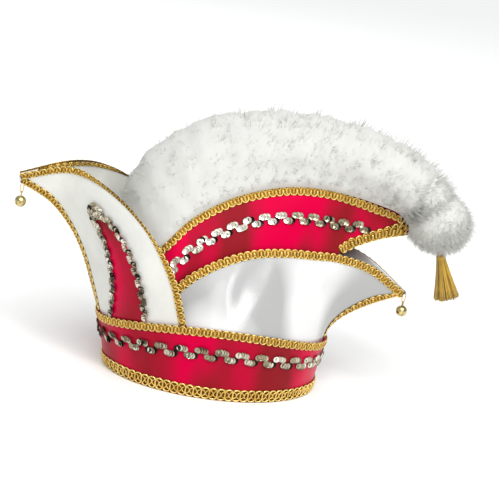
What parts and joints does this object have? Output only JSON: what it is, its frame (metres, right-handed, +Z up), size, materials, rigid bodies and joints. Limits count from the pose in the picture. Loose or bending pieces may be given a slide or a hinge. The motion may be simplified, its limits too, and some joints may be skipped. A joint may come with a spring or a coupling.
{
  "type": "carnival cap",
  "caption": "Boat-shaped carnival committee cap: red headband, tall open prow with a bell, short rear horn, and a red crest with a white marabou ridge and a gold tassel.",
  "frame": {"origin": "under the middle of the cap's length and width, on the surface that the rim rests on", "axes": "+X towards the tassel and the short rear horn, -X towards the tall prow, -Y the wearer's left, +Z up"},
  "size_m": [0.4322, 0.1726, 0.2611],
  "materials": {
    "satin_red": "satin",
    "satin_white": "glossy satin",
    "cloth_white": "matt felt",
    "braid": "metallic gimp braid",
    "sequins": "mirror sequins",
    "marabou": "fluffy feather down",
    "tassel_yarn": "gold yarn",
    "thread": "twisted thread",
    "bell_metal": "polished"
  },
  "bodies": {
    "root": {"headband": "satin_red", "band_braid_rim": "braid", "band_braid_top": "braid", "band_sequins": "sequins", "prow": "cloth_white", "hull": "satin_white", "crest": "satin_red", "crest_underside": "satin_red", "marabou_ridge": "marabou", "marabou_tail": "marabou", "tassel": "tassel_yarn", "bell_front": "bell_metal", "bell_thread_front": "thread", "bell_rear": "bell_metal", "bell_thread_rear": "thread", "prow_stem_braid_left": "braid", "prow_stem_braid_right": "braid", "prow_edge_braid_left": "braid", "prow_edge_braid_right": "braid", "prow_insert_left": "satin_red", "prow_insert_right": "satin_red", "prow_sequins_front_left": "sequins", "prow_sequins_front_right": "sequins", "prow_sequins_rear_left": "sequins", "prow_sequins_rear_right": "sequins", "hull_braid_left": "braid", "hull_braid_right": "braid", "stern_braid_left": "braid", "stern_braid_right": "braid", "crest_braid_left": "braid", "crest_braid_right": "braid", "crest_tip_braid_left": "braid", "crest_tip_braid_right": "braid", "crest_sequins_left": "sequins", "crest_sequins_right": "sequins"}
  },
  "joints": []
}
